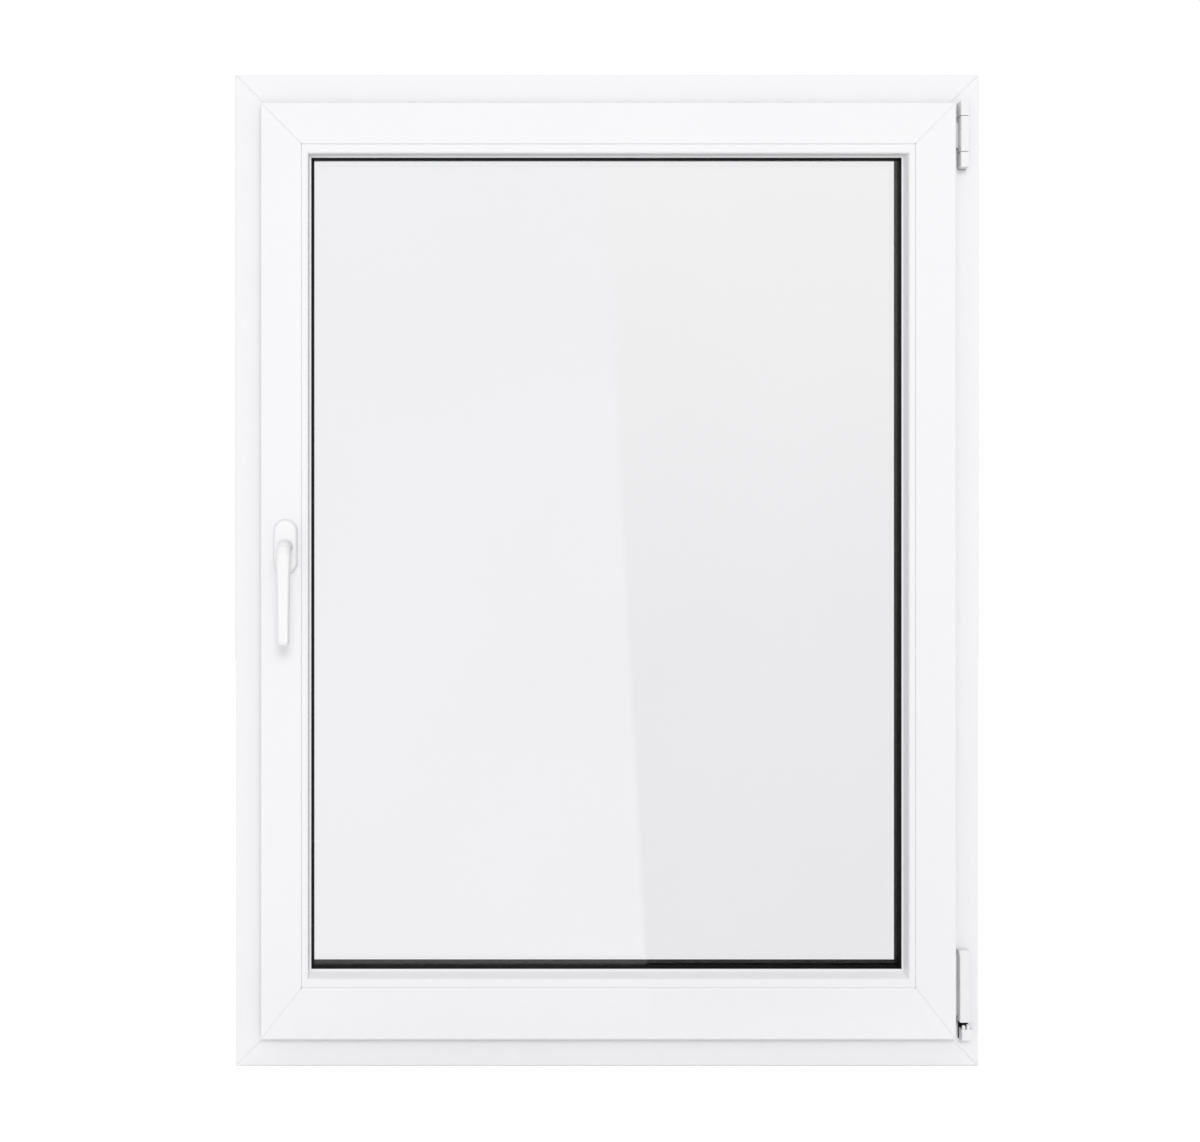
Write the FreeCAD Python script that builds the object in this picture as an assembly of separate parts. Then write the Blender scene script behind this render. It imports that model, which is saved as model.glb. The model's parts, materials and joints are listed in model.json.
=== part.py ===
import FreeCAD, Part
import math
import os

from FreeCAD import Vector

# Tilt and turn window. As seen from the room, +X is right, +Y is towards outdoors and +Z is up.
# The origin is the middle of the outer frame's underside. Every profile is drawn by the distance
# in from the frame's outer edge and the depth along Y, then run along a side and mitred. The rails
# of the sash are wider than its stiles, so the mitres there are steeper than 45 degrees.

# Outer frame profile
frame_width = 900.0
frame_height = 1200.0
frame_depth = 70.0
frame_body = 45.0           # outer edge to the rebate that the sash shuts into
frame_stop = 22.0           # height of the outdoor stop above that rebate
frame_round = 2.5           # rounding of the long edges that show
frame_stop_fall = 5.0       # slope of the stop's top edge, which sheds rain
anchor_groove_width = 8.0   # clip grooves round the outside of the frame
anchor_groove_depth = 4.0
anchor_groove_inset = 16.0  # face of the frame to the nearer wall of a groove

# Sash profile
sash_depth = 70.0
sash_overlap = 10.0         # lip over the room face of the frame
stile_face = 46.5           # width of a stile's face that shows from the room
top_rail_face = 52.5
bottom_rail_face = 64.5
sash_round = 3.0
sash_inner_round = 1.5      # edge beside the glazing bead
lip_thickness = 16.0
rebate_gap = 12.0           # space for the locking gear between frame and sash
inner_seal_gap = 4.0        # lip to frame, filled by the inner seal
outer_seal_gap = 3.0        # sash to outdoor stop, filled by the outer seal
seal_width = 4.5
seal_inset = 2.5            # edge of the lip or of the stop to its seal
leg_cover = 11.5            # bead seat to the edge of the outdoor glazing leg
leg_fall = 4.0              # slope of that leg's edge

# Double glazing and its beads
glazing_cover = 15.5        # bead seat to the edge of the clear glass
glass_setback = 19.0        # room face of the sash to the glass
glass_edge_gap = 4.6        # bead seat to the edge of the glass, on average
glass_lift = 3.0            # the glass stands on setting blocks, above the middle of its rebate
glass_shift = 1.4           # and is packed over towards the handle
pane_thickness = 4.0
pane_cavity = 20.0
spacer_setback = 1.8        # edge of the clear glass back to the spacer bar
bead_recess = 0.8           # room face of the sash to the face of the bead
bead_flat = 7.5             # flat face of the bead beside the sash
bead_round = 2.0
bead_nose = 1.6             # upright edge of the bead against the gasket
bead_mitre_gap = 0.1        # hairline at each bead's mitre
gasket_thickness = 5.0      # bead to glass
gasket_lip = 2.5            # part of the gasket that shows beside the bead
gasket_grip = 8.0           # part of the gasket under the bead
outer_gasket_thickness = 4.0
outer_gasket_lip = 1.1      # part of that gasket that shows beside the glazing leg

# Weld seams at the corners of frame and sash
seam_width = 1.6
seam_depth = 0.6

# Hinges on the right-hand side
hinge_gap = 8.7             # edge of the sash lip to the knuckles
knuckle_width = 10.7
knuckle_depth = 15.0
knuckle_round = 4.5
knuckle_back_round = 0.8
knuckle_joint = 0.6         # line between two knuckles
hinge_plate_thickness = 2.0
hinge_plate_margin = 0.5    # side of a knuckle to the edge of the plate behind it
hinge_pin_diameter = 6.0
hinge_pin_play = 0.05
hinge_pin_cover = 3.0       # end of a knuckle to the end of the pin
hinge_leaf_thickness = 2.0  # leaf that passes under the sash lip
hinge_leaf_reach = 2.0
hinge_leaf_margin = 6.0     # end of a knuckle to the end of its leaf
upper_cap_length = 17.5
upper_sleeve_length = 42.5
upper_foot_length = 18.5
lower_bearing_length = 13.5
lower_bearing_width = 14.0
lower_bearing_shift = 1.2   # bearing set over from the sleeve, away from the sash
lower_pivot_gap = 8.5       # bearing to sleeve, where the pivot shows
lower_sleeve_length = 86.0
lower_sleeve_width = 13.0
lower_pin_engagement = 30.0
lower_collar_diameter = 10.0
lower_collar_length = 2.5   # collar on the pivot that carries the sleeve
lug_diameter = 4.2          # two lugs on the bearing, in front of the pivot
lug_height = 5.0
lug_spacing = 5.4
lug_round = 1.4
lug_margin = 0.5            # edges of the bearing to the first lug

# Handle on the left-hand stile
handle_height = 629.0       # underside of the frame to the spindle
handle_backset = 27.7       # edge of the sash lip to the spindle
rosette_width = 29.0
rosette_height = 66.0
rosette_thickness = 11.0
rosette_corner = 13.4
rosette_round = 4.0
lever_play = 0.3            # rosette to the lever's hub
spindle_diameter = 12.0
spindle_play = 0.05
spindle_depth = 8.0         # length of the spindle inside the rosette
hub_half_width = 9.2
hub_half_thickness = 9.0
neck_half_width = 8.6
neck_half_thickness = 7.8
lever_reach = 36.0          # rosette to the middle of the grip
lever_bend = 16.0           # radius of the bend from neck to grip
lever_length = 115.0        # spindle to the tip
waist_distance = 46.0       # spindle to the narrowest part of the grip
waist_half_width = 7.2
waist_half_thickness = 5.6
tip_half_width = 6.5
tip_half_thickness = 5.2
tip_round = 3.0

# Drain caps on the outdoor face of the sill
drain_cap_width = 46.0
drain_cap_height = 12.0
drain_cap_thickness = 5.0
drain_cap_corner = 3.0
drain_cap_round = 1.5
drain_cap_inset = 200.0     # side of the frame to the middle of the cap
drain_cap_rise = 24.0       # underside of the frame to the middle of the cap

# Depths along Y
frame_front = -frame_depth / 2
frame_back = frame_depth / 2
lip_back = frame_front - inner_seal_gap
sash_front = lip_back - lip_thickness
sash_back = sash_front + sash_depth
stop_front = sash_back + outer_seal_gap
glass_front = sash_front + glass_setback
cavity_front = glass_front + pane_thickness
cavity_back = cavity_front + pane_cavity
glass_back = cavity_back + pane_thickness
leg_front = glass_back + outer_gasket_thickness
bead_front = sash_front + bead_recess
bead_back = glass_front - gasket_thickness

# Distances in from the outer edge
lip_edge = frame_body - sash_overlap
sash_edge = frame_body + rebate_gap
stop_edge = frame_body + frame_stop
bead_seat = lip_edge + stile_face
glass_edge = bead_seat + glass_edge_gap
sight_line = bead_seat + glazing_cover
leg_edge = bead_seat + leg_cover
spacer_edge = sight_line - spacer_setback
bead_edge = sight_line - gasket_lip
gasket_foot = bead_edge - gasket_grip
mitre_reach = sight_line + frame_body

half_width = frame_width / 2

# Widths against those of the left and right sides, from the edge of the sash lip inwards
frame_shares = {"bottom": 1.0, "top": 1.0, "left": 1.0, "right": 1.0}
sash_shares = {
    "bottom": bottom_rail_face / stile_face,
    "top": top_rail_face / stile_face,
    "left": 1.0,
    "right": 1.0,
}


def inset(side, distance, shares):
    """A distance in from the outer edge, as it is on one side."""
    return lip_edge + (distance - lip_edge) * shares[side]


def rounded_wire(corners, place):
    """A closed wire through (a, b, radius) corners, each set in space by place(a, b)."""
    edges = []
    starts = []
    ends = []
    count = len(corners)
    for i in range(count):
        a, b, radius = corners[i]
        point = Vector(a, b, 0)
        before = Vector(*corners[i - 1][:2], 0)
        after = Vector(*corners[(i + 1) % count][:2], 0)
        to_before = (before - point).normalize()
        to_after = (after - point).normalize()
        half_angle = to_before.getAngle(to_after) / 2
        if radius == 0:
            starts.append(point)
            ends.append(point)
            continue
        start = point + to_before * (radius / math.tan(half_angle))
        end = point + to_after * (radius / math.tan(half_angle))
        inward = (to_before + to_after).normalize()
        middle = point + inward * (radius / math.sin(half_angle) - radius)
        arc = Part.Arc(place(start.x, start.y), place(middle.x, middle.y), place(end.x, end.y))
        edges.append(arc.toShape())
        starts.append(start)
        ends.append(end)
    for i in range(count):
        end = ends[i]
        start = starts[(i + 1) % count]
        edges.append(Part.makeLine(place(end.x, end.y), place(start.x, start.y)))
    return Part.Wire(Part.sortEdges(edges)[0])


def prism(wire, run):
    return Part.Face(wire).extrude(run)


def side_profile(side, corners):
    """A profile run along the whole length of one side of the window, before mitring."""
    across = Vector(frame_width, 0, 0)
    up = Vector(0, 0, frame_height)
    places = {
        "bottom": (lambda u, y: Vector(-half_width, y, u), across),
        "top": (lambda u, y: Vector(-half_width, y, frame_height - u), across),
        "left": (lambda u, y: Vector(u - half_width, y, 0), up),
        "right": (lambda u, y: Vector(half_width - u, y, 0), up),
    }
    place, run = places[side]
    return prism(rounded_wire(corners, place), run)


def mitre_wedge(side, shares, gap):
    """The space on one side between the mitres at its ends, less a gap along each."""
    shift = gap * math.sqrt(2)
    across = side in ("bottom", "top")
    length = frame_width if across else frame_height
    first, last = ("left", "right") if across else ("bottom", "top")
    outline = [(inset(first, distance, shares) + shift, inset(side, distance, shares))
               for distance in (0, mitre_reach)]
    outline += [(length - inset(last, distance, shares) - shift, inset(side, distance, shares))
                for distance in (mitre_reach, 0)]
    places = {
        "bottom": lambda along, u: Vector(along - half_width, -frame_depth, u),
        "top": lambda along, u: Vector(along - half_width, -frame_depth, frame_height - u),
        "left": lambda along, u: Vector(u - half_width, -frame_depth, along),
        "right": lambda along, u: Vector(half_width - u, -frame_depth, along),
    }
    points = [places[side](along, u) for along, u in outline]
    wire = Part.makePolygon(points + points[:1])
    return prism(wire, Vector(0, 2 * frame_depth, 0))


def member(side, corners, shares, gap=0.0):
    return side_profile(side, corners).common(mitre_wedge(side, shares, gap))


def set_out(side, corners, shares):
    """The corners of a profile as they lie on one side."""
    return [(inset(side, distance, shares), depth, radius) for distance, depth, radius in corners]


def seams(face_y, inward, shares):
    """V-shaped weld seams along the four mitres of a face that lies at depth face_y."""
    cutters = []
    for side in (-1, 1):
        for outer_z, rise, rail in ((0, 1, "bottom"), (frame_height, -1, "top")):
            start = Vector(side * half_width, face_y, outer_z + rise * inset(rail, 0, shares))
            run = Vector(-side, 0, rise * shares[rail]) * mitre_reach
            sideways = run.cross(Vector(0, 1, 0)).normalize() * (seam_width / 2)
            bottom = start + Vector(0, inward * seam_depth, 0)
            points = [start + sideways, start - sideways, bottom]
            cutters.append(prism(Part.makePolygon(points + points[:1]), run))
    return cutters


def sheet(distance, front, back, shares):
    """A flat sheet whose edges lie at one distance in from the outer edge."""
    left, right, bottom, top = [inset(side, distance, shares) for side in ("left", "right", "bottom", "top")]
    corner = Vector(left - half_width, front, bottom)
    return Part.makeBox(frame_width - left - right, back - front, frame_height - bottom - top, corner)


def ring(near, far, front, back, shares):
    """A square-edged ring between two distances in from the outer edge."""
    return sheet(near, front, back, shares).cut(sheet(far, front, back, shares))


def profile_ring(corners, shares):
    """One solid ring from a profile on all four sides."""
    bars = [member(side, set_out(side, corners, shares), shares) for side in shares]
    return bars[0].fuse(bars[1:]).removeSplitter()


def anchor_groove(near_y, direction):
    """Corners of one clip groove in the outer edge, walked in the given direction along Y."""
    far_y = near_y + direction * anchor_groove_width
    return [
        (0, near_y, 0),
        (anchor_groove_depth, near_y, 0),
        (anchor_groove_depth, far_y, 0),
        (0, far_y, 0),
    ]


def make_frame():
    outline = [
        (0, frame_front, frame_round),
        (frame_body, frame_front, frame_round),
        (frame_body, stop_front, 0),
        (stop_edge, stop_front, frame_round / 2),
        (stop_edge - frame_stop_fall, frame_back, frame_round),
        (0, frame_back, frame_round),
    ]
    outline += anchor_groove(frame_back - anchor_groove_inset, -1)
    outline += anchor_groove(frame_front + anchor_groove_inset + anchor_groove_width, -1)
    cutters = seams(frame_front, 1, frame_shares) + seams(frame_back, -1, frame_shares)
    names = {
        "bottom": "frame_sill",
        "top": "frame_head",
        "left": "frame_left_jamb",
        "right": "frame_right_jamb",
    }
    return {name: member(side, outline, frame_shares).cut(cutters) for side, name in names.items()}


def sash_outline(side):
    seat = inset(side, bead_seat, sash_shares)
    leg = inset(side, leg_edge, sash_shares)
    return [
        (lip_edge, sash_front, sash_round),
        (seat, sash_front, sash_inner_round),
        (seat, leg_front, 0),
        (leg, leg_front, sash_inner_round / 2),
        (leg - leg_fall, sash_back, sash_round),
        (sash_edge, sash_back, sash_inner_round),
        (sash_edge, lip_back, 0),
        (lip_edge, lip_back, sash_inner_round),
    ]


def make_sash():
    """The four mitred bars, trimmed square where the steeper mitres pass the edge in the rebate."""
    cutters = seams(sash_front, 1, sash_shares) + seams(sash_back, -1, sash_shares)
    lip = sheet(lip_edge, sash_front, lip_back, frame_shares)
    body = sheet(sash_edge, lip_back, sash_back, frame_shares)
    envelope = lip.fuse(body)
    names = {
        "bottom": "sash_bottom_rail",
        "top": "sash_top_rail",
        "left": "sash_left_stile",
        "right": "sash_right_stile",
    }
    bars = {name: member(side, sash_outline(side), sash_shares) for side, name in names.items()}
    return {name: bar.common(envelope).cut(cutters) for name, bar in bars.items()}


def make_beads():
    outline = [
        (bead_seat, bead_front, bead_recess),
        (bead_seat + bead_flat, bead_front, bead_round),
        (bead_edge, bead_back - bead_nose, 0),
        (bead_edge, bead_back, 0),
        (bead_seat, bead_back, 0),
    ]
    beads = {}
    for side in sash_shares:
        corners = set_out(side, outline, sash_shares)
        beads[f"{side}_bead"] = member(side, corners, sash_shares, bead_mitre_gap)
    return beads


def make_glazing():
    inner_gasket = [
        (gasket_foot, bead_back, 0),
        (bead_edge, bead_back, 0),
        (sight_line, glass_front - gasket_thickness / 2, 0),
        (sight_line, glass_front, 0),
        (gasket_foot, glass_front, 0),
    ]
    outer_gasket = [
        (gasket_foot, glass_back, 0),
        (leg_edge + outer_gasket_lip, glass_back, 0),
        (leg_edge, leg_front, 0),
        (gasket_foot, leg_front, 0),
    ]
    unit = {
        "inner_glass_pane": sheet(glass_edge, glass_front, cavity_front, sash_shares),
        "outer_glass_pane": sheet(glass_edge, cavity_back, glass_back, sash_shares),
        "glass_spacer_bar": ring(glass_edge, spacer_edge, cavity_front, cavity_back, sash_shares),
    }
    for shape in unit.values():
        shape.translate(Vector(-glass_shift, 0, glass_lift))
    return {
        **unit,
        "inner_glazing_gasket": profile_ring(inner_gasket, sash_shares),
        "outer_glazing_gasket": profile_ring(outer_gasket, sash_shares),
    }


def make_seals():
    inner_near = lip_edge + seal_inset
    outer_far = stop_edge - seal_inset
    return {
        "inner_sash_seal": ring(inner_near, inner_near + seal_width, lip_back, frame_front, frame_shares),
        "outer_frame_seal": ring(outer_far - seal_width, outer_far, sash_back, stop_front, frame_shares),
    }


knuckle_back = frame_front - hinge_plate_thickness
knuckle_front = knuckle_back - knuckle_depth
hinge_x = half_width - lip_edge + hinge_gap + knuckle_width / 2
hinge_y = knuckle_back - knuckle_depth / 2


def knuckle(bottom, length, width=knuckle_width, shift=0.0):
    """A rounded hinge knuckle, which may be set over away from the sash."""
    left = hinge_x - knuckle_width / 2 + shift
    right = left + width
    face_round = min(knuckle_round, width / 2 - knuckle_back_round)
    outline = [
        (left, knuckle_back, knuckle_back_round),
        (right, knuckle_back, knuckle_back_round),
        (right, knuckle_front, face_round),
        (left, knuckle_front, face_round),
    ]
    return prism(rounded_wire(outline, lambda x, y: Vector(x, y, bottom)), Vector(0, 0, length))


def hinge_leaf(bottom, length):
    """The flat leaf that joins a sash-side knuckle to the back of the sash lip."""
    left = half_width - lip_edge - hinge_leaf_reach
    corner = Vector(left, lip_back, bottom + hinge_leaf_margin)
    return Part.makeBox(hinge_x - left, hinge_leaf_thickness, length - 2 * hinge_leaf_margin, corner)


def hinge_plate(bottom, top):
    width = knuckle_width - 2 * hinge_plate_margin
    corner = Vector(hinge_x - width / 2, knuckle_back, bottom)
    return Part.makeBox(width, hinge_plate_thickness, top - bottom, corner)


def upright(diameter, bottom, top):
    return Part.makeCylinder(diameter / 2, top - bottom, Vector(hinge_x, hinge_y, bottom), Vector(0, 0, 1))


def make_upper_hinge():
    top = frame_height - lip_edge
    cap_bottom = top - upper_cap_length
    sleeve_top = cap_bottom - knuckle_joint
    sleeve_bottom = sleeve_top - upper_sleeve_length
    foot_top = sleeve_bottom - knuckle_joint
    foot_bottom = foot_top - upper_foot_length
    pin_bottom = foot_bottom + hinge_pin_cover
    pin_top = top - hinge_pin_cover
    bore = upright(hinge_pin_diameter + 2 * hinge_pin_play, pin_bottom, pin_top)
    sleeve = knuckle(sleeve_bottom, upper_sleeve_length)
    sleeve = sleeve.fuse(hinge_leaf(sleeve_bottom, upper_sleeve_length))
    return {
        "upper_hinge_cap": knuckle(cap_bottom, upper_cap_length).cut(bore),
        "upper_hinge_sleeve": sleeve.removeSplitter().cut(bore),
        "upper_hinge_foot": knuckle(foot_bottom, upper_foot_length).cut(bore),
        "upper_hinge_pin": upright(hinge_pin_diameter, pin_bottom, pin_top),
        "upper_hinge_plate": hinge_plate(foot_bottom, top),
    }


def bearing_lugs(bottom):
    """The two lugs with rounded tops that stand on the lower bearing."""
    radius = lug_diameter / 2
    first_x = hinge_x - knuckle_width / 2 + lower_bearing_shift + lug_margin + radius
    lug_y = knuckle_front + lug_margin + radius
    lugs = []
    for lug_x in (first_x, first_x + lug_spacing):
        lug = Part.makeCylinder(radius, lug_height, Vector(lug_x, lug_y, bottom), Vector(0, 0, 1))
        top_edge = [edge for edge in lug.Edges if edge.BoundBox.ZMin > bottom + lug_height / 2]
        lugs.append(lug.makeFillet(min(lug_round, lug_diameter / 3), top_edge))
    return lugs


def make_lower_hinge():
    bottom = lip_edge
    bearing_top = bottom + lower_bearing_length
    sleeve_bottom = bearing_top + lower_pivot_gap
    sleeve_top = sleeve_bottom + lower_sleeve_length
    pin_bottom = bottom + hinge_pin_cover
    pin_top = sleeve_bottom + lower_pin_engagement
    bore = upright(hinge_pin_diameter + 2 * hinge_pin_play, pin_bottom, pin_top)
    collar = upright(lower_collar_diameter, sleeve_bottom - lower_collar_length, sleeve_bottom)
    bearing = knuckle(bottom, lower_bearing_length, lower_bearing_width, lower_bearing_shift)
    bearing = bearing.fuse(bearing_lugs(bearing_top)).removeSplitter()
    sleeve_shift = (knuckle_width - lower_sleeve_width) / 2
    sleeve = knuckle(sleeve_bottom, lower_sleeve_length, lower_sleeve_width, sleeve_shift)
    sleeve = sleeve.fuse(hinge_leaf(sleeve_bottom, lower_sleeve_length))
    return {
        "lower_hinge_bearing": bearing.cut(bore),
        "lower_hinge_sleeve": sleeve.removeSplitter().cut(bore),
        "lower_hinge_pivot": upright(hinge_pin_diameter, pin_bottom, pin_top).fuse(collar).removeSplitter(),
        "lower_hinge_plate": hinge_plate(bottom, sleeve_top - hinge_leaf_margin),
    }


handle_x = lip_edge + handle_backset - half_width
rosette_front = sash_front - rosette_thickness
hub_back = rosette_front - lever_play
grip_y = rosette_front - lever_reach


def spindle(diameter, front, back):
    end = Vector(handle_x, front, handle_height)
    return Part.makeCylinder(diameter / 2, back - front, end, Vector(0, 1, 0))


def make_rosette():
    corner = min(rosette_corner, rosette_width / 2 - 1, rosette_height / 2 - 1)
    half_across = rosette_width / 2
    half_tall = rosette_height / 2
    outline = [
        (handle_x - half_across, handle_height - half_tall, corner),
        (handle_x + half_across, handle_height - half_tall, corner),
        (handle_x + half_across, handle_height + half_tall, corner),
        (handle_x - half_across, handle_height + half_tall, corner),
    ]
    wire = rounded_wire(outline, lambda x, z: Vector(x, sash_front, z))
    body = prism(wire, Vector(0, -rosette_thickness, 0))
    face = [edge for edge in body.Edges if edge.BoundBox.YMax < rosette_front + lever_play]
    body = body.makeFillet(min(rosette_round, rosette_thickness / 2), face)
    bore_back = rosette_front + spindle_depth + lever_play
    return body.cut(spindle(spindle_diameter + 2 * spindle_play, rosette_front, bore_back))


def oval(centre, upwards, half_across, half_thick):
    """An oval section across X, with its short radius along the given direction."""
    across = centre + Vector(half_across, 0, 0)
    thick = centre + upwards * half_thick
    return Part.Wire(Part.Ellipse(across, thick, centre).toShape())


def eased(start, end, share):
    """A value that leaves start and reaches end gently."""
    return start + (end - start) * (1 - math.cos(math.pi * share)) / 2


def make_lever():
    """A lever that leaves the rosette, bends down and runs to its tip as a slim grip."""
    bend_start = Vector(handle_x, grip_y + lever_bend, handle_height)
    bend_centre = bend_start - Vector(0, 0, lever_bend)
    sections = []
    neck_steps = 3
    for step in range(neck_steps + 1):
        share = step / neck_steps
        across = eased(hub_half_width, neck_half_width, share)
        thickness = eased(hub_half_thickness, neck_half_thickness, share)
        centre = Vector(handle_x, hub_back + (bend_start.y - hub_back) * share, handle_height)
        sections.append(oval(centre, Vector(0, 0, 1), across, thickness))
    bend_steps = 3
    for step in range(1, bend_steps + 1):
        share = step / bend_steps
        angle = share * math.pi / 2
        outward = Vector(0, -math.sin(angle), math.cos(angle))
        thickness = eased(neck_half_thickness, waist_half_thickness, share)
        sections.append(oval(bend_centre + outward * lever_bend, outward, neck_half_width, thickness))
    waist_steps = 3
    for step in range(1, waist_steps + 1):
        share = step / waist_steps
        drop = lever_bend + (waist_distance - lever_bend) * share
        across = eased(neck_half_width, waist_half_width, share)
        centre = Vector(handle_x, grip_y, handle_height - drop)
        sections.append(oval(centre, Vector(0, -1, 0), across, waist_half_thickness))
    tip_steps = 6
    for step in range(1, tip_steps + 1):
        share = step / tip_steps
        drop = waist_distance + (lever_length - waist_distance) * share
        across = eased(waist_half_width, tip_half_width, share)
        thickness = eased(waist_half_thickness, tip_half_thickness, share)
        centre = Vector(handle_x, grip_y, handle_height - drop)
        sections.append(oval(centre, Vector(0, -1, 0), across, thickness))
    body = Part.makeLoft(sections, True, False)
    tip_z = handle_height - lever_length
    tip_edges = [edge for edge in body.Edges if edge.BoundBox.ZMax < tip_z + tip_round]
    body = body.makeFillet(min(tip_round, tip_half_thickness - 1), tip_edges)
    stub = spindle(spindle_diameter, hub_back, rosette_front + spindle_depth)
    return body.fuse(stub)


def make_drain_caps():
    caps = {}
    for side, name in ((-1, "left_drain_cap"), (1, "right_drain_cap")):
        middle = side * (half_width - drain_cap_inset)
        left = middle - drain_cap_width / 2
        right = middle + drain_cap_width / 2
        bottom = drain_cap_rise - drain_cap_height / 2
        top = drain_cap_rise + drain_cap_height / 2
        corners = ((left, bottom), (right, bottom), (right, top), (left, top))
        outline = [(x, z, drain_cap_corner) for x, z in corners]
        wire = rounded_wire(outline, lambda x, z: Vector(x, frame_back, z))
        cap = prism(wire, Vector(0, drain_cap_thickness, 0))
        outer = frame_back + drain_cap_thickness
        face = [edge for edge in cap.Edges if edge.BoundBox.YMin > outer - drain_cap_round]
        caps[name] = cap.makeFillet(drain_cap_round, face)
    return caps


nodes = {}
nodes.update(make_frame())
nodes.update(make_sash())
nodes.update(make_beads())
nodes.update(make_glazing())
nodes.update(make_seals())
nodes.update(make_upper_hinge())
nodes.update(make_lower_hinge())
nodes["handle_rosette"] = make_rosette()
nodes["handle_lever"] = make_lever()
nodes.update(make_drain_caps())

os.makedirs("parts", exist_ok=True)
for name, shape in nodes.items():
    shape.exportStep(f"parts/{name}.step")
    print(f"{name}: {len(shape.Solids)} solid, valid {shape.isValid()}, {shape.Volume / 1000:.1f} cm3")
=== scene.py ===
import json
import math

import bmesh
import bpy
from mathutils import Matrix, Vector


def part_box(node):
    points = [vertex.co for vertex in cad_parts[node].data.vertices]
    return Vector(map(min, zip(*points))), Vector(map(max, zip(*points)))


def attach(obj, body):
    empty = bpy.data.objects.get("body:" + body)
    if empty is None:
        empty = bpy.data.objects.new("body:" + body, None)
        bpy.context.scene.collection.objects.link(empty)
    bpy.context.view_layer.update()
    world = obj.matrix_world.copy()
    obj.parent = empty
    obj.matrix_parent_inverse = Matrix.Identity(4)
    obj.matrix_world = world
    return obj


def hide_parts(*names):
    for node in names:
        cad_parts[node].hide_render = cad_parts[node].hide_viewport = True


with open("model.json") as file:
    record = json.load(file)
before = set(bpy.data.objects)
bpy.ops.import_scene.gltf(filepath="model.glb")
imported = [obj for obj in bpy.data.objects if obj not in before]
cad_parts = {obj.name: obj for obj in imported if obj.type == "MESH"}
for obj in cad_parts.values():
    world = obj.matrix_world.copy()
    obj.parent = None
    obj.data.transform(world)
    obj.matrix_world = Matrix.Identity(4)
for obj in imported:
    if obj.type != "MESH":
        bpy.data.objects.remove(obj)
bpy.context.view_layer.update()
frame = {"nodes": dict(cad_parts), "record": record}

mm = 0.001
tiny = 1e-5
print("stage: frame loaded,", len(frame["nodes"]), "nodes")

# Limits that tell edges and faces apart
fineRound = 1 * mm       # roundings up to this take fewer segments
longRun = 100 * mm       # only edges along a side are longer
mitreLean = 0.5          # a mitred end's normal has more than this along X and along Z
levelLean = 0.99         # a level face's normal has more than this along Z

# Places taken from the frame. Profiles are drawn by the distance in from the outer edge and the depth.
sillLow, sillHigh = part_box("frame_sill")
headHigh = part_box("frame_head")[1]
railLow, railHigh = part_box("sash_bottom_rail")
beadLow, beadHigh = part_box("bottom_bead")
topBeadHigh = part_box("top_bead")[1]
leftBeadLow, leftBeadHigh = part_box("left_bead")
lipSealLow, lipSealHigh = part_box("inner_sash_seal")
stopSealLow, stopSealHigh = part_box("outer_frame_seal")
innerPaneLow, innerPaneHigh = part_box("inner_glass_pane")
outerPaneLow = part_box("outer_glass_pane")[0]
legGasketLow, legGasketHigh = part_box("outer_glazing_gasket")
beadGasketLow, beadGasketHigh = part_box("inner_glazing_gasket")

leftEdge, rightEdge = sillLow.x, sillHigh.x
bottomEdge, topEdge = sillLow.z, headHigh.z
middle = Vector(((leftEdge + rightEdge) / 2, 0, (bottomEdge + topEdge) / 2))
lipEdge = railLow.z - bottomEdge         # sash lip
beadSeat = leftBeadLow.x - leftEdge      # sash to glazing bead
beadEdge = leftBeadHigh.x - leftEdge     # inner edge of the bead
railShare = {                            # rails against the stiles, from the lip inwards
    "bottom": (beadLow.z - bottomEdge - lipEdge) / (beadSeat - lipEdge),
    "top": (topEdge - topBeadHigh.z - lipEdge) / (beadSeat - lipEdge),
}


# Meshes
def cornerPoint(side, inward, depth):
    x = rightEdge - inward if side == "right" else leftEdge + inward
    z = topEdge - inward if side == "top" else bottomEdge + inward
    return Vector((x, depth, z))


def runsAcross(side):
    return side in ("bottom", "top")


def mirrorVerts(bm, verts, across):
    flip = (-1, 1, 1) if across else (1, 1, -1)
    bmesh.ops.scale(bm, vec=flip, verts=verts, space=Matrix.Translation(-middle))


def grownVerts(grown):
    return [item for item in grown["geom"] if isinstance(item, bmesh.types.BMVert)]


def grownEdges(grown):
    return [item for item in grown["geom"] if isinstance(item, bmesh.types.BMEdge)]


def grownFaces(grown):
    return [item for item in grown["geom"] if isinstance(item, bmesh.types.BMFace)]


def roundEdges(bm, edges, offset, segments):
    bmesh.ops.bevel(bm, geom=edges, offset=offset, segments=segments,
                    profile=0.5, affect="EDGES", material=-1)


def mitredBar(side, outline):
    # the outline stands on the corner's diagonal, and its mirrored copy ends the bar
    bm = bmesh.new()
    across = runsAcross(side)
    corners = [bm.verts.new(cornerPoint(side, inward, depth)) for inward, depth, rounding in outline]
    end = bm.faces.new(corners)
    grown = bmesh.ops.extrude_face_region(bm, geom=[end])
    mirrorVerts(bm, grownVerts(grown), across)
    roundings = {}
    for corner, (inward, depth, rounding) in zip(corners, outline):
        if rounding > 0:
            lengthwise = [edge for edge in corner.link_edges if edge.other_vert(corner) not in corners]
            roundings.setdefault(rounding, []).extend(lengthwise)
    for rounding, edges in roundings.items():
        roundEdges(bm, edges, rounding, segments=6 if rounding > fineRound else 3)
    bm.normal_update()
    return bm


def stretchRails(bm, verts):
    # the rails are wider than the stiles, so both ends of every bar move out from the lip's edge
    for rail, lipLine in (("bottom", bottomEdge + lipEdge), ("top", topEdge - lipEdge)):
        ends = [vert for vert in verts if (vert.co.z < middle.z) == (rail == "bottom")]
        place = Matrix.Translation((0, 0, -lipLine))
        bmesh.ops.scale(bm, vec=(1, 1, railShare[rail]), verts=ends, space=place)
    bm.normal_update()


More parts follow.
